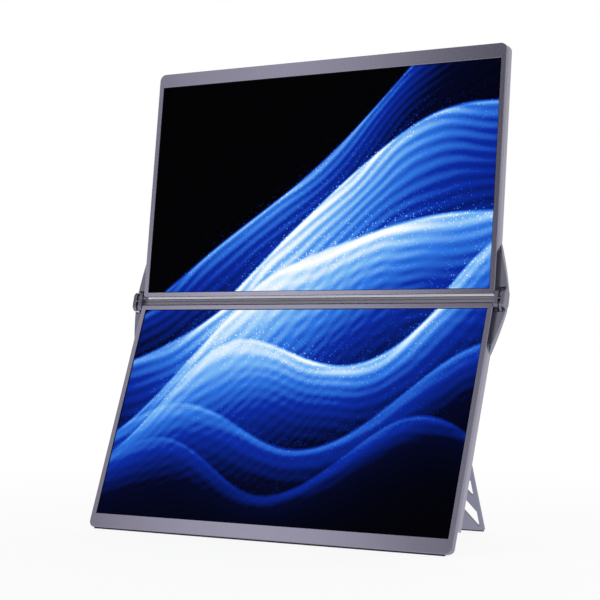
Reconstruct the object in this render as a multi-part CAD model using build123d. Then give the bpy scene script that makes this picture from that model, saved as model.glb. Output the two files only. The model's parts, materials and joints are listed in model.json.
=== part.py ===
# Dual portable monitor: two 15.6 inch screens, one over the other, joined along their facing edges by a
# spine with two parallel hinge axes, and propped up by a slotted kickstand behind the lower screen.
# Millimetres and degrees. X runs to the right, Y to the back and Z up. The origin is the middle of the
# flat face of the rubber strip that the lower monitor stands on.
from build123d import *
import os
from math import cos, radians, sin, tan

# Pose in use: how far each piece leans from the vertical
lower_lean = 22.0
upper_lean = 7.2
kickstand_lean = 24.2

# Screen: the lit area of a 15.6 inch panel of 16 to 9
active_width = 344.2
active_height = 193.6

# Front frame round the screen
side_bezel = 4.8
hinge_bezel = 4.4
chin_height = 12.6
bezel_thickness = 1.2
frame_wall = 1.5
chin_corner_radius = 6.0
hinge_corner_radius = 2.5
frame_edge_chamfer = 0.5
window_chamfer = 0.3
heel_chamfer = 1.8

# Screen module behind the bezel
cell_thickness = 1.2
backlight_thickness = 2.0
module_side_clearance = 0.3
module_back_clearance = 0.1

# Rear cover
monitor_depth = 12.0
cover_wall = 1.4
cover_back = 1.5
cover_edge_radius = 2.0
cover_seam = 0.25

# Finger relief along the bottom of the lower rear cover
relief_height = 21.0
relief_plate = 0.7
relief_margin = 2.5

# Rubber strip under the lower monitor
stand_height = 1.5
strip_front = 1.2
strip_width = 1.4
strip_end_gap = 6.0

# Hinge axes between the monitors
axis_depth = 3.3
axis_edge_gap = 0.4
closed_gap = 1.0
running_clearance = 0.05

# Spine bar between the axes
bar_front_clearance = 0.3
bar_edge_clearance = 1.1
bar_corner_radius = 0.8
groove_width = 0.9
groove_depth = 1.0
tenon_height = 3.2
tenon_front = 1.1
tenon_back_gap = 0.6

# Knuckles on the ends of the spine, listed outwards from the monitor's side
knuckle_side_gap = 0.6
inner_cheek = 3.4
washer_thickness = 0.3
tongue_thickness = 1.8
outer_cheek = 2.8
cap_thickness = 0.8
knuckle_radius = 4.6
cap_radius = 4.9
cap_chamfer = 0.5
pin_radius = 1.5
pin_end_gap = 0.1
washer_radius = 2.7
knuckle_web = 1.2

# Flared hinge arms on the monitors' sides
eye_radius = 2.9
ear_flare = 10.0
ear_length = 44.0
ear_bulge = 0.6
ear_draft = 2.0
ear_end_gap = 0.5
ear_front_gap = 0.1
ear_back_gap = 0.9
ear_tip_thickness = 2.4
ear_slope_start = 34.0
ear_chamfer = 0.5
ear_pocket_depth = 2.4
ear_pocket_height = 1.7
ear_pocket_inset = 0.8
ear_pocket_wall = 2.4
ear_hood_radius = 2.5
tongue_root = 3.0
tongue_back_gap = 1.0
arm_screw_radius = 1.0
arm_screw_head_radius = 1.7
arm_screw_head_thickness = 1.2
arm_screw_embed = 3.0
arm_screw_depth = 7.2
arm_screw_shares = (0.20, 0.55)
arm_pad_thickness = 3.0
arm_pad_length = 30.0
arm_pad_front_gap = 0.5

# Kickstand plate, its recess and its hinge
kickstand_width = 266.4
kickstand_thickness = 2.0
kickstand_pivot = 23.6
kickstand_corner_radius = 1.5
kickstand_edge_chamfer = 0.3
kickstand_lift = 0.3
kickstand_flush = 0.2
kickstand_side_gap = 0.6
kickstand_top_gap = 2.6
kickstand_foot_height = 0.8
kickstand_foot_end_gap = 1.5
recess_floor_wall = 1.2
hinge_floor_wall = 2.0
recess_end_gap = 0.6
bracket_inset = 49.5
barrel_length = 24.0
barrel_radius = 1.9
barrel_clearance = 0.35
lug_length = 5.0
lug_gap = 0.15
kickstand_pin_radius = 1.0
bracket_reach = 11.0
bracket_thickness = 1.2
bracket_edge_gap = 2.6
bracket_screw_radius = 0.9
bracket_screw_head_radius = 1.7
bracket_screw_head_thickness = 0.8
bracket_screw_spacing = 22.0
bracket_screw_inset = 4.2
bracket_screw_end_gap = 0.1

# Slanted slots along both sides of the kickstand
slot_rows = 4
slot_first = 3.0
slot_pitch = 30.0
slot_edge_height = 15.4
slot_border = 4.0
slot_run = 26.0
slot_slant = 55.0
slot_corner_radius = 1.0

# Driver board on the left, with the ports and buttons along its edge
board_thickness = 1.0
board_clearance = 0.1
board_width = 32.0
board_length = 88.0
board_start = 40.0
board_edge_gap = 0.3
boss_radius = 2.0
boss_inset = 4.0
ribbon_width = 30.0
ribbon_length = 30.0
ribbon_overlap = 6.0

# Chips on the board: place along and across the board as shares of it, then their own sizes
chip_places_shares = ((0.55, 0.55), (0.30, 0.62), (0.82, 0.60), (0.12, 0.70))
chip_sizes = ((14.0, 14.0, 1.1), (9.0, 11.0, 0.9), (7.0, 7.0, 1.0), (5.0, 5.0, 0.8))

# Ports
port_setback = 0.2
port_clearance = 0.15
port_wall = 0.3
port_depth = 7.2
port_tongue_depth = 5.0
usb_width = 8.94
usb_height = 3.16
usb_tongue_width = 6.7
usb_tongue_height = 0.7
usb_stations = (51.0, 65.0)
hdmi_width = 11.2
hdmi_height = 3.2
hdmi_corner = 1.1
hdmi_tongue_width = 8.4
hdmi_tongue_height = 0.8
hdmi_station = 80.0

# Push buttons and the switches behind them
button_height = 2.6
button_proud = 0.5
button_clearance = 0.2
button_flange = 0.8
button_flange_thickness = 0.6
button_wall_gap = 0.05
button_travel = 0.4
button_depth = 7.2
button_names = ("power_button", "plus_button", "minus_button")
button_stations = (96.5, 108.0, 117.5)
button_lengths = (11.0, 6.0, 6.0)
switch_height = 3.0
switch_length = 4.4
switch_width = 2.4
switch_stem_radius = 0.8
switch_stem_length = 0.6
switch_stem_gap = 0.05

# Speakers behind slots in the back
speaker_width = 8.0
speaker_length = 26.0
speaker_thickness = 2.8
speaker_end_gap = 2.2
speaker_side_gap = 1.5
speaker_slot_length = 5.0
speaker_slot_width = 1.4
speaker_slot_pitch = 3.6
speaker_slots = 7

# How far every cut runs past the material
overrun = 5.0

# Sizes that follow from the ones above
monitor_width = active_width + 2 * side_bezel
monitor_height = hinge_bezel + active_height + chin_height
half_width = monitor_width / 2
cell_back = bezel_thickness + cell_thickness
backlight_back = cell_back + backlight_thickness
frame_depth = backlight_back + module_back_clearance
cover_inside = monitor_depth - cover_back

axis_spacing = 2 * axis_depth + closed_gap
spine_lean = (lower_lean + upper_lean) / 2
knuckle_in = half_width + knuckle_side_gap
slot_in = knuckle_in + inner_cheek
tongue_in = slot_in + washer_thickness + running_clearance
tongue_out = tongue_in + tongue_thickness
slot_out = tongue_out + running_clearance + washer_thickness
knuckle_out = slot_out + outer_cheek
bar_half_height = axis_spacing / 2 + axis_edge_gap - bar_edge_clearance
bar_front = bar_front_clearance - axis_edge_gap
ear_start = knuckle_radius + ear_end_gap - axis_edge_gap
ear_front = frame_depth + ear_front_gap
ear_back = monitor_depth - ear_back_gap

recess_floor = monitor_depth - kickstand_flush - kickstand_thickness - kickstand_lift
pivot_depth = recess_floor + kickstand_lift + kickstand_thickness / 2
recess_start = kickstand_pivot - bracket_reach - recess_end_gap
recess_half_width = kickstand_width / 2 + kickstand_side_gap
hinge_floor_end = kickstand_pivot + barrel_radius + barrel_clearance + cover_wall
bracket_station = kickstand_width / 2 - bracket_inset
relief_start = monitor_height - relief_height

board_front = frame_depth + board_clearance
board_back = board_front + board_thickness
board_edge = cover_wall + board_edge_gap - half_width
board_inner = board_edge + board_width
speaker_station = half_width - cover_wall - speaker_side_gap - speaker_width / 2
speaker_start = relief_start - cover_wall - speaker_end_gap - speaker_length

# Where the monitors stand, as y and z of points seen from the side
strip_back = strip_front + strip_width
heel_y = stand_height * tan(radians(lower_lean)) - (strip_front + strip_back) / 2 / cos(radians(lower_lean))
lower_edge_y = heel_y + monitor_height * sin(radians(lower_lean))
lower_edge_z = stand_height + monitor_height * cos(radians(lower_lean))
place_lower = Location((0, lower_edge_y, lower_edge_z), (-lower_lean, 0, 0))
lower_axis = (place_lower * Pos(0, axis_depth, axis_edge_gap)).position
place_spine = Location(lower_axis, (-spine_lean, 0, 0)) * Pos(0, 0, axis_spacing / 2)
upper_axis = (place_spine * Pos(0, 0, axis_spacing / 2)).position
place_upper = Location(upper_axis, (-upper_lean, 0, 0)) * Pos(0, -axis_depth, axis_edge_gap)
pivot_place = place_lower * Pos(0, pivot_depth, -kickstand_pivot)
pivot_axis = pivot_place.position
kickstand_opening = lower_lean + kickstand_lean
place_kickstand = pivot_place * Rot(kickstand_opening, 0, 0) * Pos(0, -pivot_depth, kickstand_pivot)


# Each monitor is drawn in its own frame: x along the hinge, y from the front face to the back, and z from
# the hinge edge out to the chin. The upper one stands that way up and the lower one is its mirror image.
def block(x0, x1, y0, y1, z0, z1):
    """A box from its lowest corner to its highest."""
    corner = (Align.MIN, Align.MIN, Align.MIN)
    return Pos(x0, y0, z0) * Box(x1 - x0, y1 - y0, z1 - z0, align=corner)


def slab(outline, y0, y1):
    """An outline in x and z, made solid from y0 to y1."""
    return Pos(0, y1, 0) * extrude(Plane.XZ * outline, amount=y1 - y0)


def rod(outline, x0, x1):
    """An outline in y and z, made solid from x0 to x1."""
    return Pos(x0, 0, 0) * extrude(Plane.YZ * outline, amount=x1 - x0)


def both_sides(shape):
    """A piece on the right and its mirror image on the left."""
    return [shape, mirror(shape, about=Plane.YZ)]


def polygon(*points):
    """A flat shape with straight sides."""
    return make_face(Polyline(*points, close=True))


def monitor_outline(inset):
    """The monitor seen from the front, drawn in by inset all round."""
    shape = Pos(0, monitor_height / 2) * Rectangle(monitor_width - 2 * inset, monitor_height - 2 * inset)
    shape = fillet(shape.vertices().sort_by(Axis.Y)[-2:], chin_corner_radius - inset)
    return fillet(shape.vertices().sort_by(Axis.Y)[:2], hinge_corner_radius - inset)


# Front frame: a thin bezel in front, walls that run back from its rim, and the window for the screen.
def front_frame(is_lower):
    frame = slab(monitor_outline(0), 0, frame_depth)
    frame = chamfer(frame.faces().sort_by(Axis.Y)[0].edges(), frame_edge_chamfer)
    frame -= slab(monitor_outline(frame_wall), bezel_thickness, frame_depth + overrun)
    window = Pos(0, hinge_bezel + active_height / 2) * Rectangle(active_width, active_height)
    frame -= slab(window, -overrun, frame_depth)
    rim = frame.faces().sort_by(Axis.Y)[0].inner_wires()[0].edges()
    frame = chamfer(rim, window_chamfer)
    if is_lower:
        heel = polygon(
            (frame_depth - heel_chamfer, monitor_height),
            (frame_depth, monitor_height),
            (frame_depth, monitor_height - heel_chamfer),
        )
        frame -= rod(heel, -half_width, half_width)
    return frame


# Screen module: the glass cell right behind the bezel, and the backlight unit behind the cell.
def screen_layer(y0, y1):
    return slab(monitor_outline(frame_wall + module_side_clearance), y0, y1)


# Sockets on the left side: a thin steel shell, closed at its inner end, with a contact tongue.
def usb_outline(growth):
    return Rot(0, 0, 90) * SlotOverall(usb_width + 2 * growth, usb_height + 2 * growth)


def hdmi_outline(growth):
    half_height = hdmi_height / 2 + growth
    half_length = hdmi_width / 2 + growth
    return polygon(
        (-half_height, -half_length),
        (half_height - hdmi_corner, -half_length),
        (half_height, hdmi_corner - half_length),
        (half_height, half_length - hdmi_corner),
        (half_height - hdmi_corner, half_length),
        (-half_height, half_length),
    )


def port(outline, station, height, tongue_width, tongue_height):
    centre = Pos(0, board_back + height / 2, station)
    mouth = port_setback - half_width
    back = mouth + port_depth
    shell = rod(outline(0), mouth, back) - rod(outline(-port_wall), mouth - overrun, back - port_wall)
    tongue = rod(Rectangle(tongue_height, tongue_width), back - port_wall - port_tongue_depth, back - port_wall)
    return centre * (shell + tongue)


def port_cut(outline, station, height):
    hole = rod(outline(port_clearance), -half_width - overrun, cover_wall - half_width + overrun)
    return Pos(0, board_back + height / 2, station) * hole


def port_cuts():
    cuts = [port_cut(usb_outline, station, usb_height) for station in usb_stations]
    return cuts + [port_cut(hdmi_outline, hdmi_station, hdmi_height)]


# Push buttons: a rounded cap that stands a little proud of the side, on a flange that keeps it in.
def button_outline(length, height):
    return Rot(0, 0, 90) * SlotOverall(length, height)


button_face = -half_width - button_proud
flange_front = cover_wall + button_wall_gap - half_width
button_back = flange_front + button_flange_thickness


def push_button(station, length):
    cap = rod(button_outline(length, button_height), button_face, button_back)
    flange = rod(button_outline(length + 2 * button_flange, button_height), flange_front, button_back)
    return Pos(0, button_depth, station) * (cap + flange)


def button_cut(station, length):
    gap = 2 * button_clearance
    hole = rod(button_outline(length + gap, button_height + gap), -half_width - overrun, flange_front)
    return Pos(0, button_depth, station) * hole


def tact_switch(station):
    tip = button_back + button_travel + switch_stem_gap
    face = tip + switch_stem_length
    stem = Pos(0, button_depth, station) * rod(Circle(switch_stem_radius), tip, face)
    case = block(
        face, face + switch_width,
        board_back, board_back + switch_height,
        station - switch_length / 2, station + switch_length / 2,
    )
    return case + stem


# Driver board with its chips, and the flat ribbon from under it to the screen module.
def driver_board():
    return block(board_edge, board_inner, board_front, board_back, board_start, board_start + board_length)


def board_chips():
    chips = []
    for (along_share, across_share), (length, width, height) in zip(chip_places_shares, chip_sizes):
        x = board_edge + across_share * board_width
        z = board_start + along_share * board_length
        chips.append(block(
            x - width / 2, x + width / 2,
            board_back, board_back + height,
            z - length / 2, z + length / 2,
        ))
    return chips


def panel_ribbon():
    middle = board_start + board_length / 2
    return block(
        board_inner - ribbon_overlap, board_inner + ribbon_length,
        backlight_back, board_front,
        middle - ribbon_width / 2, middle + ribbon_width / 2,
    )


def board_bosses():
    posts = []
    for x in (board_edge + boss_inset, board_inner - boss_inset):
        for z in (board_start + boss_inset, board_start + board_length - boss_inset):
            posts.append(slab(Pos(x, z) * Circle(boss_radius), board_back, cover_inside))
    return posts


# Speakers on the inside of the back, behind a row of slots each.
def speaker():
    return block(
        speaker_station - speaker_width / 2, speaker_station + speaker_width / 2,
        cover_inside - speaker_thickness, cover_inside,
        speaker_start, speaker_start + speaker_length,
    )


def speaker_grille():
    middle = speaker_start + speaker_length / 2
    slots = []
    for row in range(speaker_slots):
        z = middle + (row - (speaker_slots - 1) / 2) * speaker_slot_pitch
        hole = Pos(speaker_station, z) * SlotOverall(speaker_slot_length, speaker_slot_width)
        slots.append(slab(hole, cover_inside - overrun, monitor_depth + overrun))
    return slots


# Hinge arm screws run from inside the cover, through its side and a pad, into the arm.
arm_screw_stations = [ear_start + share * (ear_length - ear_start) for share in arm_screw_shares]
arm_pad_face = half_width - cover_wall - arm_pad_thickness


def arm_screw_bores(x0, x1, radius):
    return [
        Pos(0, arm_screw_depth, station) * rod(Circle(radius), x0, x1)
        for station in arm_screw_stations
    ]


def arm_screws():
    shanks = arm_screw_bores(arm_pad_face, half_width + arm_screw_embed, arm_screw_radius)
    heads = arm_screw_bores(arm_pad_face - arm_screw_head_thickness, arm_pad_face, arm_screw_head_radius)
    return [shank + head for shank, head in zip(shanks, heads)]


def arm_pad():
    pad = block(
        arm_pad_face, half_width - cover_wall,
        frame_depth + arm_pad_front_gap, cover_inside,
        ear_start, ear_start + arm_pad_length,
    )
    for hole in arm_screw_bores(arm_pad_face, half_width, arm_screw_radius + running_clearance):
        pad -= hole
    return pad


# Rear cover: a shell with a rounded back. The lower one has a recess for the kickstand, and steps down to
# a thin plate along its bottom edge, where fingers reach the kickstand.
def rear_cover(is_lower):
    shell = slab(monitor_outline(0), frame_depth, monitor_depth)
    shell = fillet(shell.faces().sort_by(Axis.Y)[-1].edges(), cover_edge_radius)
    shell = chamfer(shell.faces().sort_by(Axis.Y)[0].edges(), cover_seam)
    hollow = slab(monitor_outline(cover_wall), frame_depth - overrun, cover_inside)
    if is_lower:
        hollow -= block(
            -half_width, half_width,
            frame_depth - overrun, monitor_depth,
            relief_start - cover_wall, monitor_height + overrun,
        )
        hollow -= block(
            -recess_half_width - cover_wall, recess_half_width + cover_wall,
            recess_floor - recess_floor_wall, monitor_depth,
            recess_start - cover_wall, monitor_height,
        )
        hollow -= block(
            -recess_half_width - cover_wall, recess_half_width + cover_wall,
            recess_floor - hinge_floor_wall, monitor_depth,
            recess_start - cover_wall, hinge_floor_end,
        )
    shell -= hollow
    for post in board_bosses():
        shell += post
    if is_lower:
        shell -= kickstand_recess()
        shell -= block(
            -monitor_width, monitor_width,
            frame_depth + relief_plate, monitor_depth + overrun,
            relief_start, monitor_height + overrun,
        )
        shell -= block(
            -monitor_width, monitor_width,
            frame_depth - overrun, monitor_depth + overrun,
            monitor_height - relief_margin, monitor_height + overrun,
        )
    for pad in both_sides(arm_pad()):
        shell += pad
    for bore in arm_screw_bores(arm_pad_face, half_width + overrun, arm_screw_radius + running_clearance):
        for hole in both_sides(bore):
            shell -= hole
    for slot in speaker_grille():
        for hole in both_sides(slot):
            shell -= hole
    for hole in port_cuts():
        shell -= hole
    for station, length in zip(button_stations, button_lengths):
        shell -= button_cut(station, length)
    return shell


def kickstand_recess():
    recess = block(
        -recess_half_width, recess_half_width,
        recess_floor, monitor_depth + overrun,
        recess_start, monitor_height + overrun,
    )
    trough = block(
        bracket_station - bracket_length / 2 - barrel_clearance,
        bracket_station + bracket_length / 2 + barrel_clearance,
        pivot_depth - barrel_radius - barrel_clearance, monitor_depth + overrun,
        kickstand_pivot - bracket_edge_gap - bracket_thickness,
        kickstand_pivot + barrel_radius + barrel_clearance,
    )
    for pocket in both_sides(trough):
        recess += pocket
    for bore in bracket_screw_bores(recess_floor - hinge_floor_wall, recess_floor, screw_hole_radius):
        for hole in both_sides(bore):
            recess += hole
    return recess


# Kickstand hinge: a bracket screwed to the recess floor, with two lugs that hold the pin, and a barrel on
# the kickstand's top edge that turns on the pin between the lugs.
bracket_length = barrel_length + 2 * (lug_gap + lug_length)
screw_hole_radius = bracket_screw_radius + running_clearance


def bracket_screw_bores(y0, y1, radius):
    z = kickstand_pivot - bracket_reach + bracket_screw_inset
    return [
        slab(Pos(bracket_station + side * bracket_screw_spacing / 2, z) * Circle(radius), y0, y1)
        for side in (-1, 1)
    ]


def kickstand_bracket():
    left = bracket_station - bracket_length / 2
    base = block(
        left, left + bracket_length,
        recess_floor, recess_floor + bracket_thickness,
        kickstand_pivot - bracket_reach, kickstand_pivot - bracket_edge_gap,
    )
    eye = Pos(pivot_depth, kickstand_pivot) * Circle(barrel_radius)
    foot_height = bracket_thickness / 2
    foot = Pos(recess_floor + foot_height, kickstand_pivot - bracket_edge_gap - foot_height)
    profile = make_hull(eye.edges() + (foot * Rectangle(bracket_thickness, bracket_thickness)).edges())
    bracket = base
    for x in (left, left + bracket_length - lug_length):
        bracket += rod(profile, x, x + lug_length)
    bracket -= kickstand_bore(left, left + bracket_length)
    for hole in bracket_screw_bores(recess_floor, recess_floor + bracket_thickness, screw_hole_radius):
        bracket -= hole
    return bracket


def kickstand_bore(x0, x1):
    radius = kickstand_pin_radius + running_clearance
    return Pos(0, pivot_depth, kickstand_pivot) * rod(Circle(radius), x0, x1)


def kickstand_pin():
    left = bracket_station - bracket_length / 2
    return Pos(0, pivot_depth, kickstand_pivot) * rod(Circle(kickstand_pin_radius), left, left + bracket_length)


def bracket_screws():
    top = recess_floor + bracket_thickness
    tip = recess_floor - hinge_floor_wall + bracket_screw_end_gap
    shanks = bracket_screw_bores(tip, top, bracket_screw_radius)
    heads = bracket_screw_bores(top, top + bracket_screw_head_thickness, bracket_screw_head_radius)
    return [shank + head for shank, head in zip(shanks, heads)]


# Kickstand: a wide plate with slanted slots along both sides, drawn folded flat into its recess. Its free
# edge carries a rubber strip, cut so that it lies flat on the table when the kickstand is open.
plate_front = pivot_depth - kickstand_thickness / 2
plate_back = pivot_depth + kickstand_thickness / 2
foot_front_z, foot_back_z = [
    kickstand_pivot + (pivot_axis.Z + side * kickstand_thickness / 2 * sin(radians(kickstand_lean)))
    / cos(radians(kickstand_lean))
    for side in (-1, 1)
]
plate_end = foot_front_z - kickstand_foot_height


def kickstand_slot(row):
    right = kickstand_width / 2 - slot_border
    low = plate_end - slot_first - row * slot_pitch
    rise = slot_run * tan(radians(slot_slant))
    shape = polygon(
        (right, low),
        (right, low - slot_edge_height),
        (right - slot_run, low - slot_edge_height - rise),
        (right - slot_run, low - rise),
    )
    shape = fillet(shape.vertices(), slot_corner_radius)
    return slab(shape, plate_front - overrun, plate_back + overrun)


def kickstand_plate():
    top = kickstand_pivot + kickstand_top_gap
    outline = Pos(0, (top + plate_end) / 2) * Rectangle(kickstand_width, plate_end - top)
    outline = fillet(outline.vertices().sort_by(Axis.Y)[-2:], kickstand_corner_radius)
    plate = slab(outline, plate_front, plate_back)
    for row in range(slot_rows):
        for hole in both_sides(kickstand_slot(row)):
            plate -= hole
    flat_faces = plate.faces().sort_by(Axis.Y)
    plate = chamfer(flat_faces[0].edges() + flat_faces[-1].edges(), kickstand_edge_chamfer)
    left = bracket_station - barrel_length / 2
    barrel = Pos(0, pivot_depth, kickstand_pivot) * rod(Circle(barrel_radius), left, left + barrel_length)
    neck = block(left, left + barrel_length, plate_front, plate_back, kickstand_pivot, top + overrun)
    for piece in both_sides(barrel + neck - kickstand_bore(left, left + barrel_length)):
        plate += piece
    return plate


def kickstand_foot():
    section = polygon(
        (plate_front, plate_end),
        (plate_back, plate_end),
        (plate_back, foot_back_z),
        (plate_front, foot_front_z),
    )
    half = kickstand_width / 2 - kickstand_foot_end_gap
    return rod(section, -half, half)


# Rubber strip under the lower monitor, cut level with the table.
def foot_strip():
    drops = [
        (stand_height - depth * sin(radians(lower_lean))) / cos(radians(lower_lean))
        for depth in (strip_front, strip_back)
    ]
    section = polygon(
        (strip_front, monitor_height),
        (strip_back, monitor_height),
        (strip_back, monitor_height + drops[1]),
        (strip_front, monitor_height + drops[0]),
    )
    return rod(section, strip_end_gap - half_width, half_width - strip_end_gap)


# Hinge arm: a wing that flares out of the monitor's side towards the hinge, with a slope at its slim end. A
# pocket in its hinge end leaves a wall outside and behind, and lets out the flat tongue with the eye that turns
# on the hinge pin. Behind the pocket, a hood reaches round the back of the knuckle.
def ear_face(depth, draft):
    flare = ear_flare - draft
    length = ear_length - draft
    foot = (half_width, ear_start)
    tip = (half_width, length)
    corner = (half_width + flare, ear_start)
    middle = (half_width + flare / 2 + ear_bulge, (ear_start + length) / 2)
    edges = [Line(foot, corner), ThreePointArc(corner, middle, tip), Line(tip, foot)]
    return Pos(0, depth, 0) * (Plane.XZ * make_face(edges))


def hinge_arm():
    ear = loft([ear_face(ear_front, 0), ear_face(ear_back, ear_draft)])
    slope = polygon(
        (ear_front - overrun, ear_slope_start),
        (ear_front, ear_slope_start),
        (ear_back - ear_tip_thickness, ear_length),
        (ear_back - ear_tip_thickness, ear_length + overrun),
        (ear_front - overrun, ear_length + overrun),
    )
    ear -= rod(slope, half_width - overrun, half_width + ear_flare + overrun)
    outer_edges = ear.faces().sort_by(Axis.X)[-1].edges()
    front_edges = outer_edges.filter_by(lambda edge: edge.center().Y < ear_back - ear_tip_thickness)
    ear = chamfer(front_edges, ear_chamfer)
    ear -= block(
        half_width + ear_pocket_inset, half_width + ear_flare - ear_pocket_wall,
        ear_front - overrun, ear_front + ear_pocket_depth,
        ear_start - overrun, ear_start + ear_pocket_height,
    )
    root_front = ear_front + ear_pocket_depth
    root_back = ear_back - tongue_back_gap
    hood = polygon(
        (root_front, ear_start),
        (root_front, -axis_edge_gap),
        (ear_back, -axis_edge_gap),
        (ear_back, ear_start),
    )
    hood = fillet(hood.vertices().sort_by(Axis.X)[-2:].sort_by(Axis.Y)[0], ear_hood_radius)
    hood -= Pos(axis_depth, -axis_edge_gap) * Circle(knuckle_radius + ear_end_gap)
    ear += rod(hood, half_width + ear_pocket_inset, half_width + ear_flare - ear_draft)
    eye = Pos(axis_depth, -axis_edge_gap) * Circle(eye_radius)
    root = Pos((root_front + root_back) / 2, ear_start + tongue_root / 2) * Rectangle(
        root_back - root_front, tongue_root
    )
    arm = ear + rod(make_hull(eye.edges() + root.edges()), tongue_in, tongue_out)
    bore = Circle(pin_radius + running_clearance)
    arm -= Pos(0, axis_depth, -axis_edge_gap) * rod(bore, tongue_in, tongue_out)
    hole_end = half_width + arm_screw_embed + running_clearance
    for hole in arm_screw_bores(half_width, hole_end, arm_screw_radius + running_clearance):
        arm -= hole
    return arm


# The spine is drawn in a frame of its own: its origin is midway between the hinge axes, y runs to the back
# and z from the lower axis to the upper one. A grooved bar joins two forked knuckles, one at each end.
axis_heights = (-axis_spacing / 2, axis_spacing / 2)
tenon_back = knuckle_radius - tenon_back_gap


def tenon_section(growth):
    shape = Rectangle(tenon_back - tenon_front + 2 * growth, tenon_height + 2 * growth)
    return Pos((tenon_front + tenon_back) / 2, 0) * shape


def spine_bar():
    depth = knuckle_radius - bar_front
    section = Pos((bar_front + knuckle_radius) / 2, 0) * Rectangle(depth, 2 * bar_half_height)
    section = fillet(section.vertices(), bar_corner_radius)
    section -= Pos(bar_front, 0) * Rectangle(2 * groove_depth, groove_width)
    reach = knuckle_in + inner_cheek - running_clearance
    return rod(section, -knuckle_in, knuckle_in) + rod(tenon_section(0), -reach, reach)


def stadium(radius):
    return Rot(0, 0, 90) * SlotCenterToCenter(axis_spacing, 2 * radius)


def knuckle():
    body = rod(stadium(knuckle_radius), knuckle_in, knuckle_out)
    for side in (-1, 1):
        inner = side * knuckle_web / 2
        outer = side * (axis_spacing / 2 + knuckle_radius + overrun)
        body -= block(
            slot_in, slot_out,
            -knuckle_radius - overrun, knuckle_radius + overrun,
            min(inner, outer), max(inner, outer),
        )
    for height in axis_heights:
        hole = rod(Circle(pin_radius + running_clearance), knuckle_in, knuckle_out)
        body -= Pos(0, 0, height) * hole
    return body - rod(tenon_section(running_clearance), knuckle_in, slot_in)


def knuckle_cap():
    cap = rod(stadium(cap_radius), knuckle_out, knuckle_out + cap_thickness)
    return chamfer(cap.faces().sort_by(Axis.X)[-1].edges(), cap_chamfer)


def hinge_pins():
    pin = rod(Circle(pin_radius), knuckle_in + pin_end_gap, knuckle_out - pin_end_gap)
    return [Pos(0, 0, height) * pin for height in axis_heights]


def friction_washers():
    ring = Circle(washer_radius) - Circle(pin_radius + running_clearance)
    faces = (slot_in, slot_out - washer_thickness)
    return [
        Pos(0, 0, height) * rod(ring, face, face + washer_thickness)
        for face in faces
        for height in axis_heights
    ]


# The assembly: every piece in its own node, at its place in use.
def group(solids):
    return Compound(children=[solid.solid() for solid in solids])


def monitor_nodes(is_lower):
    nodes = {
        "front_frame": [front_frame(is_lower)],
        "lcd_panel": [screen_layer(bezel_thickness, cell_back)],
        "backlight_unit": [screen_layer(cell_back, backlight_back)],
        "rear_cover": [rear_cover(is_lower)],
        "driver_board": [driver_board()],
        "board_chips": board_chips(),
        "panel_ribbon": [panel_ribbon()],
        "usb_c_ports": [
            port(usb_outline, station, usb_height, usb_tongue_width, usb_tongue_height)
            for station in usb_stations
        ],
        "hdmi_port": [port(hdmi_outline, hdmi_station, hdmi_height, hdmi_tongue_width, hdmi_tongue_height)],
        "tact_switches": [tact_switch(station) for station in button_stations],
        "speakers": both_sides(speaker()),
        "hinge_arm_right": [hinge_arm()],
        "hinge_arm_left": [mirror(hinge_arm(), about=Plane.YZ)],
        "arm_screws": [screw for pair in map(both_sides, arm_screws()) for screw in pair],
    }
    for name, station, length in zip(button_names, button_stations, button_lengths):
        nodes[name] = [push_button(station, length)]
    return nodes


def lower_extras():
    return {
        "lower_foot_strip": [foot_strip()],
        "kickstand_bracket_right": [kickstand_bracket()],
        "kickstand_bracket_left": [mirror(kickstand_bracket(), about=Plane.YZ)],
        "kickstand_pins": both_sides(kickstand_pin()),
        "kickstand_bracket_screws": [screw for pair in map(both_sides, bracket_screws()) for screw in pair],
    }


def spine_nodes():
    return {
        "spine_bar": [spine_bar()],
        "knuckle_right": [knuckle()],
        "knuckle_left": [mirror(knuckle(), about=Plane.YZ)],
        "knuckle_cap_right": [knuckle_cap()],
        "knuckle_cap_left": [mirror(knuckle_cap(), about=Plane.YZ)],
        "hinge_pins": [pin for pair in map(both_sides, hinge_pins()) for pin in pair],
        "friction_washers": [ring for pair in map(both_sides, friction_washers()) for ring in pair],
    }


def turned_down(solids):
    return [mirror(solid, about=Plane.XY) for solid in solids]


assembly = {}
for name, solids in monitor_nodes(False).items():
    assembly["upper_" + name] = [place_upper * solid for solid in solids]
for name, solids in monitor_nodes(True).items():
    assembly["lower_" + name] = [place_lower * solid for solid in turned_down(solids)]
for name, solids in lower_extras().items():
    assembly[name] = [place_lower * solid for solid in turned_down(solids)]
for name, solids in spine_nodes().items():
    assembly[name] = [place_spine * solid for solid in solids]
for name, solid in {"kickstand_plate": kickstand_plate(), "kickstand_foot": kickstand_foot()}.items():
    assembly[name] = [place_kickstand * solid for solid in turned_down([solid])]

os.makedirs("parts", exist_ok=True)
for name, solids in assembly.items():
    export_step(group(solids), "parts/" + name + ".step")

for name, point in (("lower axis", lower_axis), ("upper axis", upper_axis), ("kickstand pivot", pivot_axis)):
    print(name, round(point.Y, 4), round(point.Z, 4))
print("kickstand opening", kickstand_opening)
print("kickstand foot", round(pivot_axis.Y + pivot_axis.Z * tan(radians(kickstand_lean)), 4))
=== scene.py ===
# Dual portable monitor: two lit screens joined by a spine with two hinge axes, and a slotted kickstand
# behind the lower one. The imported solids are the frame, and this script gives them their finishes, the lit
# picture, the small trim, the studio and the camera. Metres, with X to the right, Y to the back and Z up.
import json
import math

import bmesh
import bpy
from mathutils import Matrix, Vector


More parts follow.
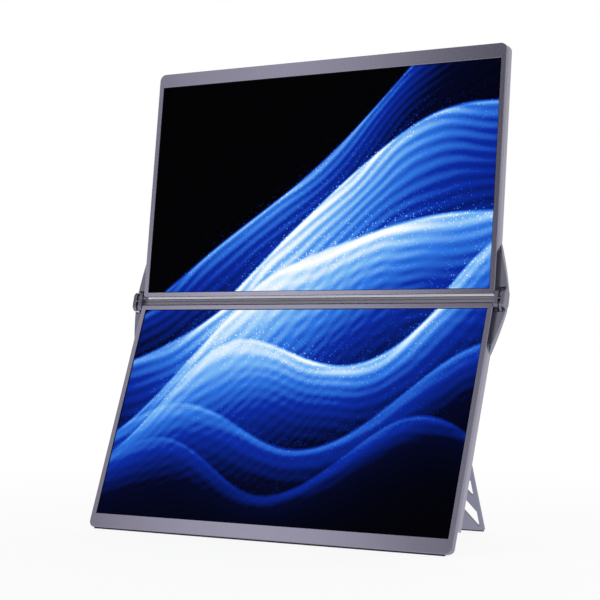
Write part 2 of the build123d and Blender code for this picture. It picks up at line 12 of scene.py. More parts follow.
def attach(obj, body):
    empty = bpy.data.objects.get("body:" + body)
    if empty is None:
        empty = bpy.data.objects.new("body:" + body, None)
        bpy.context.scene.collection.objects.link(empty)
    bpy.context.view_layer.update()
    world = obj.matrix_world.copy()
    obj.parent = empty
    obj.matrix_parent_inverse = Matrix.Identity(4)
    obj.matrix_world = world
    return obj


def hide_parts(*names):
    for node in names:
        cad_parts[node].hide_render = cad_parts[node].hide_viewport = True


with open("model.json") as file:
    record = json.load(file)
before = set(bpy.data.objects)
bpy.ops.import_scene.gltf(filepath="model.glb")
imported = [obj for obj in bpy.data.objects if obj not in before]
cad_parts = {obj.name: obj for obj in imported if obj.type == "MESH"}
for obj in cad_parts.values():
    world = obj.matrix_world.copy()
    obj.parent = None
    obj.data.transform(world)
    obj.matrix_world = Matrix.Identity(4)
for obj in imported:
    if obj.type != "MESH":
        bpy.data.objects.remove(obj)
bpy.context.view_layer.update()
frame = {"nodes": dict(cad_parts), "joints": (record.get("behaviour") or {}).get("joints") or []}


# Front frames: one thin aluminium bezel with a wide chin round each screen. They are pressed and machined,
# blasted with fine beads and anodised violet grey. That gives a soft sheen with a fine grain. Their edges
# are painted a little brighter, partly as wear where handling has rubbed the blasted skin smooth, and partly
# as a painted highlight.
sides = ("upper", "lower")
satin_grain_mm = 0.25
satin_cloud_mm = 60.0
satin_relief = 0.00002
satin_bump = 0.12
satin_gloss_spread = (-0.03, 0.04)
usual_noise = (0.3, 0.7)
edge_wear_and_highlight_radius = 0.0006
edge_wear_and_highlight_cosines = (0.99, 0.75)
edge_wear_and_highlight_share = 0.3
edge_wear_and_highlight_colour = "#d9d8e4"
metal = {"Metallic": 1.0}


def linear(hex_colour):
    """An sRGB hex colour as the linear RGBA that shaders take."""
    parts = [int(hex_colour[start:start + 2], 16) / 255 for start in (1, 3, 5)]
    return [c / 12.92 if c <= 0.04045 else ((c + 0.055) / 1.055) ** 2.4 for c in parts] + [1.0]


def per(size_mm):
    """The texture scale that gives a pattern of this size in millimetres."""
    return 1000 / size_mm


def set_inputs(tree, node, inputs):
    """Sets sockets of a node, each to a value or to a link from another node's output."""
    for socket, value in dict(inputs).items():
        if isinstance(value, bpy.types.NodeSocket):
            tree.links.new(value, node.inputs[socket])
        else:
            node.inputs[socket].default_value = value


def add(tree, kind, inputs=(), **settings):
    """Adds one node with its settings and inputs.

    A Mix node's sockets share their names, so they go by number: 0 is its factor, 2 and 3 are its numbers,
    and 6 and 7 its colours.
    """
    made = tree.nodes.new("ShaderNode" + kind)
    for name, value in settings.items():
        setattr(made, name, value)
    set_inputs(tree, made, inputs)
    return made


def new_material(name, colour, inputs=()):
    """A material with its shader's even values, and its node tree, shader and Object coordinates."""
    made = bpy.data.materials.new(name)
    made.use_nodes = True
    tree = made.node_tree
    shader = tree.nodes["Principled BSDF"]
    set_inputs(tree, shader, {"Base Color": linear(colour), **dict(inputs)})
    return made, tree, shader, add(tree, "TexCoord").outputs["Object"]


def satin_metal(name, dull, bright, rough):
    """Metal under a thin satin skin. Its fine grain is about 0.15 mm and is drawn at 0.25 mm, to show."""
    made, tree, shader, place = new_material(name, dull, metal)
    grain, cloud = [
        add(tree, "TexNoise", {"Vector": place, "Scale": per(size_mm), "Detail": 2.0}).outputs["Fac"]
        for size_mm in (satin_grain_mm, satin_cloud_mm)
    ]
    tone = add(tree, "Mix", {0: cloud, 6: linear(dull), 7: linear(bright)}, data_type="RGBA").outputs[2]
    # The edges are painted lighter, partly as rubbed wear and partly as a painted highlight.
    rounded = add(tree, "Bevel", {"Radius": edge_wear_and_highlight_radius}, samples=6).outputs["Normal"]
    flat = add(tree, "NewGeometry").outputs["Normal"]
    turn = add(tree, "VectorMath", {0: rounded, 1: flat}, operation="DOT_PRODUCT").outputs["Value"]
    edge_wear_and_highlight = add(tree, "MapRange", {
        "Value": turn, "From Min": edge_wear_and_highlight_cosines[0], "From Max": edge_wear_and_highlight_cosines[1], "To Max": edge_wear_and_highlight_share,
    }).outputs[0]
    tone_with_edge_highlight = add(tree, "Mix", {0: edge_wear_and_highlight, 6: tone, 7: linear(edge_wear_and_highlight_colour)}, data_type="RGBA").outputs[2]
    gloss = add(tree, "MapRange", {
        "Value": grain, "From Min": usual_noise[0], "From Max": usual_noise[1],
        "To Min": rough + satin_gloss_spread[0], "To Max": rough + satin_gloss_spread[1],
    }).outputs[0]
    bump = add(tree, "Bump", {"Height": grain, "Strength": satin_bump, "Distance": satin_relief})
    set_inputs(tree, shader, {"Base Color": tone_with_edge_highlight, "Roughness": gloss, "Normal": bump.outputs["Normal"]})
    return made


def dress(material, *names):
    """Gives these carried-over solids a finish."""
    for name in names:
        frame["nodes"][name].data.materials.clear()
        frame["nodes"][name].data.materials.append(material)


def on_each_monitor(*pieces):
    """The names of these pieces on the upper and on the lower monitor."""
    return [side + "_" + piece for side in sides for piece in pieces]


dress(satin_metal("anodised_frame", "#848194", "#8a8799", 0.18), *on_each_monitor("front_frame"))


# Rear covers: pressed aluminium shells that fit into the frames from behind and are screwed to them. They
# are anodised like the frames, a shade lighter and more matt. Their edges show as the light band down the
# side of each monitor.
dress(satin_metal("anodised_cover", "#a3a1b0", "#a9a7b6", 0.40), *on_each_monitor("rear_cover"))


# Screens: a liquid crystal panel under a faintly matt film, lit from behind. The picture is an abstract one:
# sheets of blue light that fall from wave crests, with spray on them, run on from one screen to the other.
# Its sizes are in units of 100 mm, across and up each screen from its hinge axis.
picture_unit = 0.1
spray_cell_mm = 2.4
drift_cloud_mm = 110.0
picture_sizes = dict(
    # the bends of the whole picture, to the sides and up
    sway_turns=1.6, sway_phase=0.6, sway_swing=0.16, heave_turns=2.6, heave_phase=1.1, heave_swing=0.10,
    # the pool of light in the middle
    pool_middle=0.4, pool_fade=-0.22,
    # the strands along each sheet
    strand_turns=58.0, strand_drift=22.0, strand_swing=0.15, strand_light=0.85,
    # the sheets' upper edges, with the glint along them
    rim_edge=30.0, glint_fade=-16.0, glint_light=0.35,
    # the drops of spray, near the crests and on the sheets
    drop_radius=0.30, drop_edge=9.0, drop_light=0.5, spray_fade=-6.0, wet_share=0.35,
    # what the crests build on: all dark, and no spray
    dark=1.0, spray=0.0,
)
crests = (
    # the crest line's height, slope, swing, turns and phase, how far its sheet falls, and how bright it is
    dict(height=0.62, slope=0.62, swing=0.26, turns=1.9, phase=0.3, fall=-0.80, bright=1.20),
    dict(height=0.05, slope=0.48, swing=0.34, turns=1.5, phase=1.4, fall=-0.42, bright=1.15),
    dict(height=-0.45, slope=0.36, swing=0.30, turns=2.1, phase=2.9, fall=-0.30, bright=1.05),
    dict(height=-0.98, slope=0.22, swing=0.26, turns=1.7, phase=4.2, fall=-0.24, bright=0.55),
    dict(height=-1.40, slope=0.10, swing=0.22, turns=2.4, phase=5.3, fall=-0.16, bright=0.40),
    dict(height=1.22, slope=0.75, swing=0.22, turns=1.6, phase=5.9, fall=-0.50, bright=0.90),
)
# Each step gives a result its name, an operation and its terms: named sizes, earlier results, 0 or 1. The
# first steps bend the picture and place its drops and its pool of light.
bend_steps = (
    ("sway", "MULTIPLY_ADD", "up", "sway_turns", "sway_phase"),
    ("sway", "SINE", "sway"),
    ("x", "MULTIPLY_ADD", "sway", "sway_swing", "across"),
    ("heave", "MULTIPLY_ADD", "across", "heave_turns", "heave_phase"),
    ("heave", "SINE", "heave"),
    ("z", "MULTIPLY_ADD", "heave", "heave_swing", "up"),
    ("drift", "MULTIPLY", "cloud", "strand_drift"),
    ("drop", "SUBTRACT", "drop_radius", "gap"),
    ("drop", "MULTIPLY", "drop", "drop_edge"),
    ("drop", "MAXIMUM", "drop", 0.0),
    ("drop", "MINIMUM", "drop", 1.0),
    ("drop", "MULTIPLY", "drop", "chance"),
    ("east", "SUBTRACT", "across", "pool_middle"),
    ("east", "MULTIPLY", "east", "east"),
    ("north", "MULTIPLY", "up", "up"),
    ("reach", "ADD", "east", "north"),
    ("reach", "MULTIPLY", "reach", "pool_fade"),
    ("pool", "EXPONENT", "reach"),
)
# These steps run once for each crest. They take the sheet below it out of the dark, and put spray along it.
crest_steps = (
    ("wave", "MULTIPLY_ADD", "x", "turns", "phase"),
    ("wave", "SINE", "wave"),
    ("line", "MULTIPLY_ADD", "x", "slope", "height"),
    ("line", "MULTIPLY_ADD", "wave", "swing", "line"),
    ("below", "SUBTRACT", "line", "z"),
    ("rim", "MULTIPLY", "below", "rim_edge"),
    ("rim", "MAXIMUM", "rim", 0.0),
    ("rim", "MINIMUM", "rim", 1.0),
    ("depth", "MAXIMUM", "below", 0.0),
    ("fade", "DIVIDE", "depth", "fall"),
    ("fade", "EXPONENT", "fade"),
    ("strand", "MULTIPLY_ADD", "below", "strand_turns", "drift"),
    ("strand", "SINE", "strand"),
    ("strand", "MULTIPLY_ADD", "strand", "strand_swing", "strand_light"),
    ("sheet", "MULTIPLY", "rim", "fade"),
    ("sheet", "MULTIPLY", "sheet", "strand"),
    ("glint", "MULTIPLY", "depth", "glint_fade"),
    ("glint", "EXPONENT", "glint"),
    ("glint", "MULTIPLY_ADD", "glint", "glint_light", "pool"),
    ("sheet", "MULTIPLY", "sheet", "glint"),
    ("sheet", "MULTIPLY", "sheet", "bright"),
    ("sheet", "MINIMUM", "sheet", 1.0),
    ("unlit", "SUBTRACT", 1.0, "sheet"),
    ("dark", "MULTIPLY", "dark", "unlit"),
    ("near", "ABSOLUTE", "below"),
    ("near", "MULTIPLY", "near", "spray_fade"),
    ("near", "EXPONENT", "near"),
    ("near", "MULTIPLY", "near", "bright"),
    ("near", "MULTIPLY", "near", "pool"),
    ("spray", "MAXIMUM", "spray", "near"),
)
# The last steps lay the drops over the sheets.
light_steps = (
    ("light", "SUBTRACT", 1.0, "dark"),
    ("wet", "MULTIPLY", "light", "wet_share"),
    ("wet", "MAXIMUM", "wet", "spray"),
    ("wet", "MULTIPLY", "wet", "drop"),
    ("light", "MULTIPLY_ADD", "wet", "drop_light", "light"),
)
picture_colours = (
    (0.0, "#000001"), (0.12, "#020626"), (0.32, "#0b2ca4"), (0.52, "#2f76e2"),
    (0.72, "#79b8f6"), (0.90, "#d9efff"), (1.0, "#ffffff"),
)
joints = {joint["name"]: joint for joint in frame["joints"]}
hinges = {"upper": "upper_fold", "lower": "spine_fold"}
hinge_axes = {side: Vector(joints[hinges[side]]["pos_m"]) for side in sides}


def lean_of(side):
    """How far a monitor leans back, from the largest face of its panel."""
    largest = max(frame["nodes"][side + "_lcd_panel"].data.polygons, key=lambda face: face.area)
    return math.atan(-largest.normal.z / largest.normal.y)


leans = {side: lean_of(side) for side in sides}


def lit_screen(side):
    """The lit picture on one panel."""
    made, tree, shader, place = new_material("lit_panel_" + side, "#030304", {
        "Roughness": 0.30, "Specular IOR Level": 0.01, "Emission Strength": 1.0,
    })
    axis = Matrix.Rotation(leans[side], 3, "X") @ hinge_axes[side]
    spot = add(tree, "Mapping", {
        "Vector": place, "Location": axis / -picture_unit, "Rotation": (leans[side], 0, 0),
        "Scale": [1 / picture_unit] * 3,
    }).outputs["Vector"]
    parts = add(tree, "SeparateXYZ", {"Vector": spot})
    cells = add(tree, "TexVoronoi", {"Vector": place, "Scale": per(spray_cell_mm)})
    cloud = add(tree, "TexNoise", {"Vector": place, "Scale": per(drift_cloud_mm), "Detail": 1.0})
    values = {
        **picture_sizes, "across": parts.outputs["X"], "up": parts.outputs["Z"],
        "cloud": cloud.outputs["Fac"], "gap": cells.outputs["Distance"],
        "chance": add(tree, "SeparateXYZ", {"Vector": cells.outputs["Color"]}).outputs["X"],
    }
    rounds = [({}, bend_steps)] + [(crest, crest_steps) for crest in crests] + [({}, light_steps)]
    for sizes, steps in rounds:
        values.update(sizes)
        for result, operation, *terms in steps:
            inputs = {index: values.get(term, term) for index, term in enumerate(terms)}
            values[result] = add(tree, "Math", inputs, operation=operation).outputs[0]
    ramp = add(tree, "ValToRGB", {"Fac": values["light"]})
    for position, _ in picture_colours[1:-1]:
        ramp.color_ramp.elements.new(position)
    for element, (position, colour) in zip(ramp.color_ramp.elements, picture_colours):
        element.position = position
        element.color = linear(colour)
    set_inputs(tree, shader, {"Emission Color": ramp.outputs["Color"]})
    return made


for side in sides:
    dress(lit_screen(side), side + "_lcd_panel")


# Screen borders: a black foam strip, stuck round the inside of each window, keeps dust out between the bezel
# and the glass. It is die cut from thin sheet, so it is matt, with fine pores.
outward = {"upper": 1, "lower": -1}
window_width = 0.3440
window_height = 0.1934
window_start = 0.0048
border_width = 0.0004
border_thickness = 0.0003
glass_depth = -0.0021
glass_gap = 0.00002
pore_mm = 0.4
pore_relief = 0.0001
foam, tree, shader, place = new_material("die_cut_foam", "#08080a", {
    "Roughness": 0.85, "Specular IOR Level": 0.15,
})
pores = add(tree, "TexVoronoi", {"Vector": place, "Scale": per(pore_mm)}).outputs["Distance"]
bump = add(tree, "Bump", {"Height": pores, "Strength": 0.3, "Distance": pore_relief}).outputs["Normal"]
set_inputs(tree, shader, {"Normal": bump})


def new_piece(name, shape, side, material):
    """A finished piece on one monitor, from a bmesh in that monitor's own frame.

    There X runs across, Y from the hinge axis to the back, and Z up the screen.
    """
    place = Matrix.Translation(hinge_axes[side]) @ Matrix.Rotation(-leans[side], 4, "X")
    bmesh.ops.transform(shape, matrix=place, verts=shape.verts)
    bmesh.ops.recalc_face_normals(shape, faces=shape.faces)
    mesh = bpy.data.meshes.new(name)
    shape.to_mesh(mesh)
    shape.free()
    mesh.materials.append(material)
    made = bpy.data.objects.new(name, mesh)
    bpy.context.scene.collection.objects.link(made)
    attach(made, side + "_monitor")
    return made


for side in sides:
    shape = bmesh.new()
    bmesh.ops.create_grid(shape, x_segments=1, y_segments=1, size=0.5)
    bmesh.ops.scale(shape, vec=(window_width, window_height, 1), verts=shape.verts)
    pane = shape.faces[:]
    bmesh.ops.inset_region(
        shape, faces=pane, thickness=border_width, use_boundary=True, use_even_offset=True)
    bmesh.ops.delete(shape, geom=pane, context="FACES")
    bmesh.ops.solidify(shape, geom=shape.faces[:], thickness=border_thickness)
    bmesh.ops.rotate(shape, matrix=Matrix.Rotation(math.radians(90), 3, "X"), verts=shape.verts)
    depths = [vertex.co.y for vertex in shape.verts]
    middle = (min(depths) + max(depths)) / 2
    depth = glass_depth - glass_gap - border_thickness / 2
    along = outward[side] * (window_start + window_height / 2)
    bmesh.ops.translate(shape, vec=(0, depth - middle, along), verts=shape.verts)
    new_piece(side + "_screen_border", shape, side, foam)


# Inside each monitor: a backlight tray of pale rolled steel, mottled in its gloss, a driver board whose
# tracks show under green solder mask, moulded chips with a fine grit, and a flat ribbon of amber film with
# copper tracks that joins the board to the panel.
solder_track_mm = 3.0
ribbon_track_mm = 2.0
# A wave texture turns through 20 radians in one unit, so a unit holds this many of its bands.
bands_per_unit = 20 / math.tau


def grained(name, tones, rough, grain_mm, relief=(), detail=2.0, inputs=()):
    """A material with one grain, of these sizes in mm along X, Y and Z.

    Tones and rough are each one even value, or the two ends of a range that follows the grain. Relief is its
    bump's strength and height.
    """
    made, tree, shader, place = new_material(name, tones[0], {"Roughness": rough[0], **dict(inputs)})
    spot = add(tree, "Mapping", {"Vector": place, "Scale": [per(size) for size in grain_mm]})
    noise = add(tree, "TexNoise", {"Vector": spot.outputs["Vector"], "Scale": 1.0, "Detail": detail})
    grain = noise.outputs["Fac"]
    if len(tones) == 2:
        dull, bright = linear(tones[0]), linear(tones[1])
        tone = add(tree, "Mix", {0: grain, 6: dull, 7: bright}, data_type="RGBA")
        set_inputs(tree, shader, {"Base Color": tone.outputs[2]})
    if len(rough) == 2:
        gloss = add(tree, "MapRange", {"Value": grain, "To Min": rough[0], "To Max": rough[1]})
        set_inputs(tree, shader, {"Roughness": gloss.outputs[0]})
    if relief:
        strength, height = relief
        bump = add(tree, "Bump", {"Height": grain, "Strength": strength, "Distance": height})
        set_inputs(tree, shader, {"Normal": bump.outputs["Normal"]})
    return made


tray = grained(
    "pressed_tray_steel", ["#c4c5c8"], rough=[0.35, 0.55], grain_mm=[2.0, 2.0, 2.0], inputs=metal)
dress(tray, *on_each_monitor("backlight_unit"))

mask, tree, shader, place = new_material("green_solder_mask", "#0e4a2a", {
    "Roughness": 0.35, "Coat Weight": 0.4,
})
tracks = add(tree, "TexBrick", {
    "Vector": place, "Color1": linear("#0e4a2a"), "Color2": linear("#115a33"), "Mortar": linear("#2a7c4c"),
    "Scale": per(solder_track_mm), "Mortar Size": 0.06, "Bias": -0.4,
}).outputs["Color"]
set_inputs(tree, shader, {"Base Color": tracks})
dress(mask, *on_each_monitor("driver_board"))

epoxy = grained(
    "moulded_chip_epoxy", ["#17171a"], rough=[0.55], grain_mm=[0.3, 0.3, 0.3], relief=[0.25, 0.00005])
dress(epoxy, *on_each_monitor("board_chips"))

film, tree, shader, place = new_material("amber_ribbon_film", "#b06a1c", {"Roughness": 0.3})
track_scale = per(bands_per_unit * ribbon_track_mm)
bands = add(tree, "TexWave", {"Vector": place, "Scale": track_scale}, bands_direction="Z").outputs["Fac"]
gap, copper = linear("#8a4d12"), linear("#c88a3a")
tracks = add(tree, "Mix", {0: bands, 6: gap, 7: copper}, data_type="RGBA").outputs[2]
set_inputs(tree, shader, {"Base Color": tracks})
dress(film, *on_each_monitor("panel_ribbon"))


# Sockets: two oval data sockets and a wider video socket on the left of each monitor. Their shells are
# drawn from nickel plated steel, which leaves faint streaks. Inside each is a tongue of moulded black nylon,
# with a row of gold plated contacts above and below.
tongue_middle = -0.17235
tongue_length = 0.0051
tongue_ease = 0.00015
contact_middle = -0.1730
contact_length = 0.0034
contact_thickness = 0.00006
contact_ease = 0.00001
data_socket = dict(depth=0.00388, width=0.00684, height=0.00084, contacts=12, pitch=0.0005)
video_socket = dict(depth=0.00390, width=0.00854, height=0.00094, contacts=10, pitch=0.0008)
sockets = ((0.0514, data_socket), (0.0654, data_socket), (0.0804, video_socket))
plated = grained(
    "nickel_plated_steel", ["#b9b6ae"], rough=[0.18, 0.38], grain_mm=[6.0, 0.3, 0.3], inputs=metal)
nylon = grained("moulded_black_nylon", ["#141416"], rough=[0.42, 0.60], grain_mm=[0.5, 0.5, 0.5])
gold = grained(
    "gold_plated_contact", ["#d9a94a"], rough=[0.18, 0.34], grain_mm=[0.4, 0.4, 0.4], inputs=metal)
dress(plated, *on_each_monitor("usb_c_ports", "hdmi_port", "tact_switches"))


def blocks(places, size, ease):
    """Small blocks of one size with eased edges, at these places."""
    shape = bmesh.new()
    for place in places:
        spot = Matrix.Translation(place) @ Matrix.Diagonal((*size, 1))
        bmesh.ops.create_cube(shape, size=1.0, matrix=spot)
    bmesh.ops.bevel(
        shape, geom=shape.edges[:], offset=ease, affect="EDGES", segments=2, profile=0.5, material=-1)
    return shape


def fill_socket(side, number, along, depth, width, height, contacts, pitch):
    """The tongue of one socket, and the contacts on both its faces."""
    tongue = blocks([(tongue_middle, depth, along)], (tongue_length, height, width), tongue_ease)
    new_piece(f"{side}_socket_tongue_{number}", tongue, side, nylon)
    places = [
        (contact_middle, depth + face * height / 2, along + (step - (contacts - 1) / 2) * pitch)
        for face in (-1, 1)
        for step in range(contacts)
    ]
    strips = blocks(places, (contact_length, contact_thickness, pitch / 2), contact_ease)
    new_piece(f"{side}_socket_contacts_{number}", strips, side, gold)


for side in sides:
    for number, (along, sizes) in enumerate(sockets, 1):
        fill_socket(side, number, outward[side] * along, **sizes)


# Push buttons: one long and two short caps on the left of each monitor, turned from aluminium bar and
# anodised like the frame, with edges that fingers have rubbed bright, and a painted highlight along them.
button_finish = satin_metal("anodised_button", "#918d9e", "#9894a5", 0.34)
dress(button_finish, *on_each_monitor("power_button", "plus_button", "minus_button"))


# Speakers: flat drivers glued inside the back, faced with black woven mesh that shows through the slots. The
# threads are about 0.1 mm and are drawn at 0.5 mm, each with a gap as wide, to show.
thread_repeat_mm = 1.0
thread_relief = 0.0001
cloth, tree, shader, place = new_material("woven_speaker_mesh", "#1b1b1f", {"Roughness": 0.8})
thread_scale = per(bands_per_unit * thread_repeat_mm)
warp, weft = [
    add(tree, "TexWave", {"Vector": place, "Scale": thread_scale}, bands_direction=axis).outputs["Fac"]
    for axis in ("X", "Z")
]
weave = add(tree, "Math", {0: warp, 1: weft}, operation="MULTIPLY").outputs[0]
gap, strand = linear("#0c0c0e"), linear("#2c2c31")
thread = add(tree, "Mix", {0: weave, 6: gap, 7: strand}, data_type="RGBA").outputs[2]
bump = add(tree, "Bump", {"Height": weave, "Strength": 0.5, "Distance": thread_relief}).outputs["Normal"]
set_inputs(tree, shader, {"Base Color": thread, "Normal": bump})
dress(cloth, *on_each_monitor("speakers"))


# Hinge arms: cast aluminium wings, screwed to the monitors' sides from inside, which flare out to the hinge
# knuckles. They are painted in a metallic violet grey, close to the frames in tone but more matt.
hands = ("right", "left")
arm_paint = satin_metal("painted_arm_casting", "#8b8b9a", "#9292a1", 0.40)
dress(arm_paint, *on_each_monitor(*["hinge_arm_" + hand for hand in hands]))


# Screws: cold formed machine screws of steel, blackened, which leaves a faint scale. Two hold each arm from
# inside, two hold each kickstand bracket, and six low ones clamp each cover to its frame. Those on the back
# have a cross recess, and stop at any angle.
head_sides = 24
head_ease = 0.00012
head_top_share = 0.99
head_rim_share = 0.98
recess_half_width = 0.00024
recess_reach = 0.00095
recess_depth = 0.0004
shank_radius = 0.0009
stop_turn_radians = 0.7
bracket_screw = dict(head_radius=0.0017, head_height=0.0008, shank_length=0.0031)
bracket_level = 0.0074
bracket_columns = (0.0727, 0.0947)
bracket_row = -0.0172
cover_screw = dict(head_radius=0.0015, head_height=0.0006, shank_length=0.0030)
cover_level = 0.0082
cover_column = 0.165
cover_rows = {"upper": (0.012, 0.106, 0.200), "lower": (0.012, 0.082, 0.152)}
black_steel = grained(
    "blackened_screw_steel", ["#77777d"], rough=[0.26, 0.44], grain_mm=[0.4, 0.4, 0.4],
    relief=[0.15, 0.00003], inputs=metal)
dress(black_steel, *on_each_monitor("arm_screws"))


def pull(shape, faces, distance, keep=False):
    """Extrudes faces along Z and gives the moved ones. The faces they came from go, unless they are kept."""
    moved = bmesh.ops.extrude_face_region(shape, geom=faces, use_keep_orig=keep)["geom"]
    corners = [part for part in moved if isinstance(part, bmesh.types.BMVert)]
    bmesh.ops.translate(shape, vec=(0, 0, distance), verts=corners)
    if not keep:
        bmesh.ops.delete(shape, geom=[face for face in faces if face.is_valid], context="FACES_ONLY")
    return [part for part in moved if isinstance(part, bmesh.types.BMFace)]


def screws(places, head_radius, head_height, shank_length):
    """Cross recessed screws, whose heads start at these places and face back."""
    shape = bmesh.new()
    bmesh.ops.create_circle(shape, cap_ends=True, radius=head_radius, segments=head_sides)
    for across in ((1, 0, 0), (0, 1, 0)):
        for distance in (-recess_reach, -recess_half_width, recess_half_width, recess_reach):
            disc = shape.verts[:] + shape.edges[:] + shape.faces[:]
            bmesh.ops.bisect_plane(shape, geom=disc, plane_co=Vector(across) * distance, plane_no=across)
    under = shape.faces[:]
    recess = []
    for face in pull(shape, under, head_height, keep=True):
        near, far = sorted(abs(c) for c in face.calc_center_median().xy)
        if near < recess_half_width and far < recess_reach:
            recess.append(face)
    pull(shape, recess, -recess_depth)
    bmesh.ops.inset_region(shape, faces=under, thickness=head_radius - shank_radius, use_even_offset=True)
    pull(shape, under, -shank_length)
    rim = {
        vertex for vertex in shape.verts
        if vertex.co.z > head_height * head_top_share and vertex.co.xy.length > head_radius * head_rim_share
    }
    edges = [edge for edge in shape.edges if rim.issuperset(edge.verts)]
    bmesh.ops.bevel(
        shape, geom=edges, offset=head_ease, affect="EDGES", segments=2, profile=0.5, material=-1)
    model_corners = shape.verts[:]
    model = model_corners + shape.edges[:] + shape.faces[:]
    for number, place in enumerate(places):
        copy = bmesh.ops.duplicate(shape, geom=model)["geom"]
        corners = [part for part in copy if isinstance(part, bmesh.types.BMVert)]
        stop = Matrix.Rotation(stop_turn_radians * number, 4, "Z")
        spot = Matrix.Translation(place) @ Matrix.Rotation(math.radians(-90), 4, "X") @ stop
        bmesh.ops.transform(shape, matrix=spot, verts=corners)
    bmesh.ops.delete(shape, geom=model_corners, context="VERTS")
    return shape


places = [(flip * column, bracket_level, bracket_row) for flip in (-1, 1) for column in bracket_columns]
shape = screws(places, **bracket_screw)
bracket_screws = new_piece("bracket_screws", shape, "lower", black_steel)
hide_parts("kickstand_bracket_screws")

for side in sides:
    rows = [outward[side] * row for row in cover_rows[side]]
    places = [(flip * cover_column, cover_level, row) for flip in (-1, 1) for row in rows]
    new_piece(side + "_cover_screws", screws(places, **cover_screw), side, black_steel)


# Spine: an extruded bar with a groove along it, brushed lengthways, that keys into a cast zinc knuckle in
# metallic paint at each end, under a stamped cap. Ground pins run through both, with bronze washers between
# the fork's cheeks and the arms' tongues, whose friction holds a screen where it is put.
brushed = grained(
    "brushed_extrusion", ["#a5a2b0", "#bdbac8"], rough=[0.48, 0.60], grain_mm=[60.0, 0.35, 0.35],
    relief=[0.2, 0.00003], detail=3.0, inputs={**metal, "Anisotropic": 0.4})
knuckle_paint = satin_metal("painted_knuckle_casting", "#7d7d8b", "#848492", 0.42)
cap_finish = satin_metal("anodised_cap", "#7f7e8b", "#868592", 0.38)
pin_steel = grained(
    "ground_pin_steel", ["#a4a5a8"], rough=[0.20, 0.36], grain_mm=[0.3, 4.0, 4.0], inputs=metal)
bronze = grained(
    "rolled_washer_bronze", ["#9a7342", "#c79c62"], rough=[0.25, 0.42], grain_mm=[0.6, 0.6, 0.6],
    inputs=metal)
dress(brushed, "spine_bar")
dress(knuckle_paint, *["knuckle_" + hand for hand in hands])
dress(cap_finish, *["knuckle_cap_" + hand for hand in hands])
dress(pin_steel, "hinge_pins", "kickstand_pins")
dress(bronze, "friction_washers")


# Kickstand: one wide stamped plate with slanted slots down both sides, rolled into barrels at its top edge
# and anodised a bluer grey. Two folded brackets on the cover, anodised darker, hold its pins.
dress(satin_metal("anodised_kickstand", "#8c8ea0", "#9395a7", 0.44), "kickstand_plate")
bracket_finish = satin_metal("anodised_bracket", "#797786", "#807e8d", 0.42)
dress(bracket_finish, *["kickstand_bracket_" + hand for hand in hands])


# Feet: strips of grey silicone rubber, stuck along the lower monitor's bottom edge and the kickstand's free
# edge, and cut level with the table. They are matt, with a dusty bloom.
rubber = grained(
    "grey_silicone_rubber", ["#35343b", "#4b4a53"], rough=[0.8], grain_mm=[4.0, 4.0, 4.0],
    relief=[0.2, 0.0001], detail=4.0)
dress(rubber, "lower_foot_strip", "kickstand_foot")


# Studio: a white room that is bright behind the object and dim in front of it. In front on the left are a
# slanted strip light, a wide soft light above it and a small one under it. A soft light on the right fills
# the side. The camera itself sees plain white. Headings are unit vectors, and lights end at cosines to them.
front_glow = 0.12
front_heading = -0.6
rear_heading = 0.5
rear_low_glow = 1.0
rear_high_glow = 0.55
high_heading = 0.80
strip_plane = (-0.841, 0.423, -0.338)
strip_middle = (-0.416, -0.709, 0.570)
strip_edges = (0.088, 0.057)
strip_strength = 1.14


def on_rays(tree, *kinds):
    """1 on light rays of any of these kinds, and 0 on the others."""
    rays = add(tree, "LightPath").outputs
    found = rays[kinds[0]]
    for kind in kinds[1:]:
        found = add(tree, "Math", {0: found, 1: rays[kind]}, operation="MAXIMUM").outputs[0]
    return found


world = bpy.data.worlds.new("studio")
bpy.context.scene.world = world
world.use_nodes = True
tree = world.node_tree
heading = add(tree, "TexCoord").outputs["Generated"]
parts = add(tree, "SeparateXYZ", {"Vector": heading})
rear_glow = add(tree, "MapRange", {
    "Value": parts.outputs["Z"], "From Min": 0.0, "From Max": high_heading,
    "To Min": rear_low_glow, "To Max": rear_high_glow,
}).outputs[0]
glow = add(tree, "MapRange", {
    "Value": parts.outputs["Y"], "From Min": front_heading, "From Max": rear_heading,
    "To Min": front_glow, "To Max": rear_glow,
}).outputs[0]
off_strip = add(tree, "VectorMath", {0: heading, 1: strip_plane}, operation="DOT_PRODUCT").outputs["Value"]
off_strip = add(tree, "Math", {0: off_strip}, operation="ABSOLUTE").outputs[0]
strip = add(tree, "MapRange", {
    "Value": off_strip, "From Min": strip_edges[0], "From Max": strip_edges[1], "To Max": strip_strength,
}, interpolation_type="SMOOTHSTEP").outputs[0]
soft_lights = (
    # each light's direction, the cosines at its rim and at its core, and its strength
    dict(direction=strip_middle, rim=0.899, core=0.920, strength=strip),
    dict(direction=(-0.384, -0.621, 0.684), rim=0.920, core=0.941, strength=0.33),
    dict(direction=(-0.557, -0.819, 0.139), rim=0.9894, core=0.9975, strength=1.4),
    dict(direction=(0.85, -0.45, 0.28), rim=0.70, core=0.98, strength=0.5),
)
for light in soft_lights:
    near = add(tree, "VectorMath", {0: heading, 1: light["direction"]}, operation="DOT_PRODUCT")
    lit = add(tree, "MapRange", {
        "Value": near.outputs["Value"], "From Min": light["rim"], "From Max": light["core"],
        "To Max": light["strength"],
    }, interpolation_type="SMOOTHSTEP").outputs[0]
    glow = add(tree, "Math", {0: glow, 1: lit}, operation="ADD").outputs[0]
in_view = on_rays(tree, "Is Camera Ray", "Is Transmission Ray")
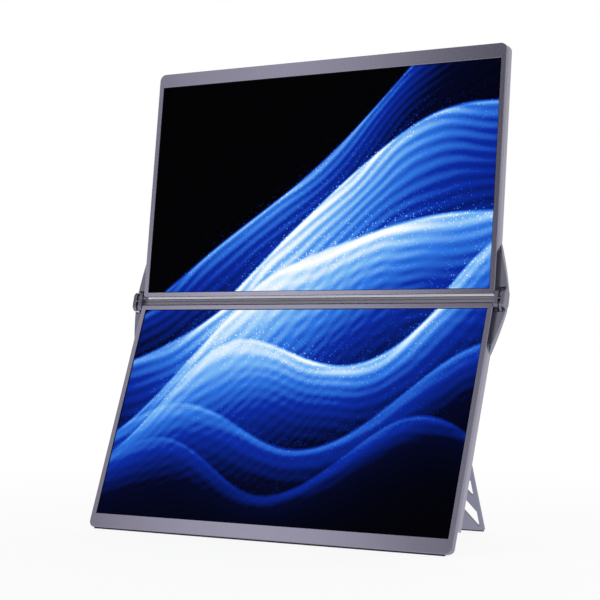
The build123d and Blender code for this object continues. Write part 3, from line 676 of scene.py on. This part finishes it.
shown = add(tree, "Mix", {0: in_view, 2: glow, 3: 1.0}).outputs[0]
set_inputs(tree, tree.nodes["Background"], {"Color": linear("#ffffff"), "Strength": shown})


# Floor: a wide sheet of pale paper that runs on into the background. What the camera and reflections see
# of it is mostly an even white, a little over full to make up for the paper's own share, which takes the
# shadow.
floor_half = 6.0
floor_drop = 0.0003
paper_white = 1.1
white_distances = (0.3, 1.4)
white_shares = (0.80, 0.90)
shape = bmesh.new()
bmesh.ops.create_grid(shape, x_segments=1, y_segments=1, size=floor_half)
bmesh.ops.translate(shape, verts=shape.verts, vec=(0, 0, -floor_drop))
mesh = bpy.data.meshes.new("floor")
shape.to_mesh(mesh)
shape.free()
floor = bpy.data.objects.new("floor", mesh)
bpy.context.scene.collection.objects.link(floor)
paper, tree, shader, place = new_material("pale_paper", "#f4f4f4", {"Roughness": 0.9})
white = add(tree, "Emission", {"Color": linear("#ffffff"), "Strength": paper_white}).outputs[0]
away = add(tree, "VectorMath", {0: place}, operation="LENGTH").outputs["Value"]
share = add(tree, "MapRange", {
    "Value": away, "From Min": white_distances[0], "From Max": white_distances[1],
    "To Min": white_shares[0], "To Max": white_shares[1],
}).outputs[0]
seen = on_rays(tree, "Is Camera Ray", "Is Transmission Ray", "Is Glossy Ray")
share = add(tree, "Math", {0: share, 1: seen}, operation="MULTIPLY").outputs[0]
both = add(tree, "MixShader", {0: share, 1: shader.outputs[0], 2: white}).outputs[0]
set_inputs(tree, tree.nodes["Material Output"], {"Surface": both})
mesh.materials.append(paper)


# Camera: at the photograph's place, a little below the hinge's height and to the right.
camera_lens = 99.4
camera_place = (0.73943, -1.15425, 0.17854)
camera_tilt = math.radians(90.863)
camera_turn = math.radians(31.207)
lens = bpy.data.cameras.new("camera")
lens.sensor_width = 36.0
lens.lens = camera_lens
camera = bpy.data.objects.new("camera", lens)
camera.location = camera_place
camera.rotation_euler = (camera_tilt, 0, camera_turn)
bpy.context.scene.collection.objects.link(camera)
bpy.context.scene.camera = camera
bpy.context.scene.view_settings.view_transform = "Standard"
